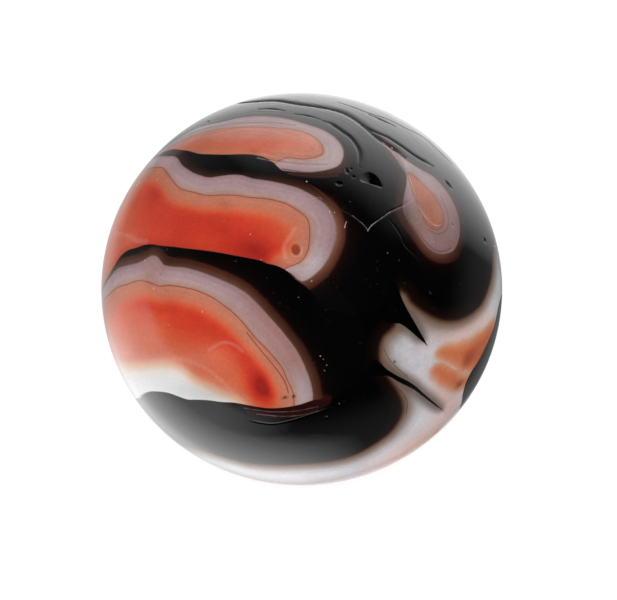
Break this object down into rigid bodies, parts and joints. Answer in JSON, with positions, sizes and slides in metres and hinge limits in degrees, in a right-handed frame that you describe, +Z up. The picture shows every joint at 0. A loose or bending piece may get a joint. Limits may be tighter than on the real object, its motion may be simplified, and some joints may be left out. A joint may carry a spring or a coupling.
{
  "type": "glass marble",
  "caption": "Slightly oval playing marble of black glass with white and orange-red swirls, and fine folds, furrows and pits in its face.",
  "frame": {"origin": "centre of the ball", "axes": "+X along the ball's longest line, +Z up; the face with the marks looks 74 degrees up from -Y"},
  "size_m": [0.016, 0.0156, 0.0156],
  "materials": {
    "swirled_glass": "gloss"
  },
  "bodies": {
    "root": {"marble": "swirled_glass"}
  },
  "joints": []
}
